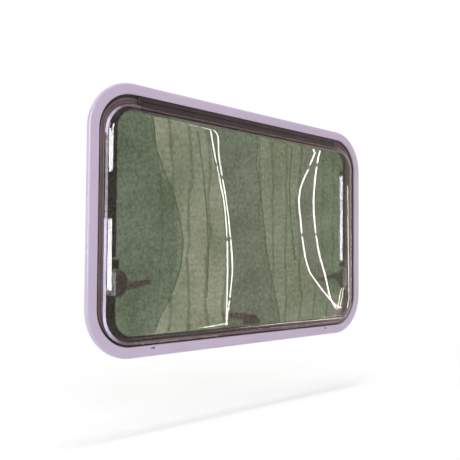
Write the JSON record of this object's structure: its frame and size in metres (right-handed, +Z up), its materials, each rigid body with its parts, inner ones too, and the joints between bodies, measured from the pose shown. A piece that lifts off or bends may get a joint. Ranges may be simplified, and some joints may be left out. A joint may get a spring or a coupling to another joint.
{
  "type": "top-hung caravan window",
  "caption": "Rounded top-hung caravan window with a moulded flange frame, a bowed double acrylic sash, telescopic stays and turn latches with grips that swing",
  "frame": {"origin": "middle of the lower rail on the flange's back face, which seats on the wall's outer skin", "axes": "+X to the right seen from outside, +Y into the vehicle, +Z up"},
  "size_m": [0.954, 0.0465, 0.604],
  "materials": {
    "frame_plastic": "satin moulded plastic",
    "seal_rubber": "soft black-brown rubber",
    "outer_acrylic": "smoked cast acrylic",
    "bond_line": "dark adhesive",
    "inner_acrylic": "cast acrylic",
    "hinge_black": "black profile",
    "latch_black": "black-brown moulded plastic",
    "latch_pin": "plain steel",
    "strike_plastic": "satin moulded plastic",
    "stay_aluminium": "bright anodised",
    "stay_rod": "plain steel",
    "stay_black": "black moulded plastic"
  },
  "bodies": {
    "window": {"outer_frame": "frame_plastic", "weather_seal": "seal_rubber", "outer_pane": "outer_acrylic", "pane_bond": "bond_line", "inner_pane": "inner_acrylic", "hinge_rail": "hinge_black", "hinge_strip": "hinge_black", "latch_base_left": "latch_black", "latch_pin_left": "latch_pin", "latch_strike_left": "strike_plastic", "latch_base_right": "latch_black", "latch_pin_right": "latch_pin", "latch_strike_right": "strike_plastic", "latch_base_bottom": "latch_black", "latch_pin_bottom": "latch_pin", "latch_strike_bottom": "strike_plastic", "hinge_cap_left": "hinge_black", "stay_tube_left": "stay_aluminium", "stay_rod_left": "stay_rod", "stay_foot_left": "stay_black", "stay_cap_left": "stay_black", "stay_bracket_left": "stay_black", "hinge_cap_right": "hinge_black", "stay_tube_right": "stay_aluminium", "stay_rod_right": "stay_rod", "stay_foot_right": "stay_black", "stay_cap_right": "stay_black", "stay_bracket_right": "stay_black"},
    "latch_left": {"latch_lever_left": "latch_black"},
    "latch_right": {"latch_lever_right": "latch_black"},
    "latch_bottom": {"latch_lever_bottom": "latch_black"}
  },
  "joints": [
    {"name": "latch_left_turn", "type": "hinge", "parent": "window", "child": "latch_left", "pos_m": [-0.387, 0.014, 0.151], "axis": [0, -1, 0], "range_deg": [0, 90]},
    {"name": "latch_right_turn", "type": "hinge", "parent": "window", "child": "latch_right", "pos_m": [0.387, 0.014, 0.151], "axis": [0, -1, 0], "range_deg": [0, 90]},
    {"name": "latch_bottom_turn", "type": "hinge", "parent": "window", "child": "latch_bottom", "pos_m": [0.01, 0.014, 0.0485], "axis": [0, -1, 0], "range_deg": [-75, 15]}
  ]
}
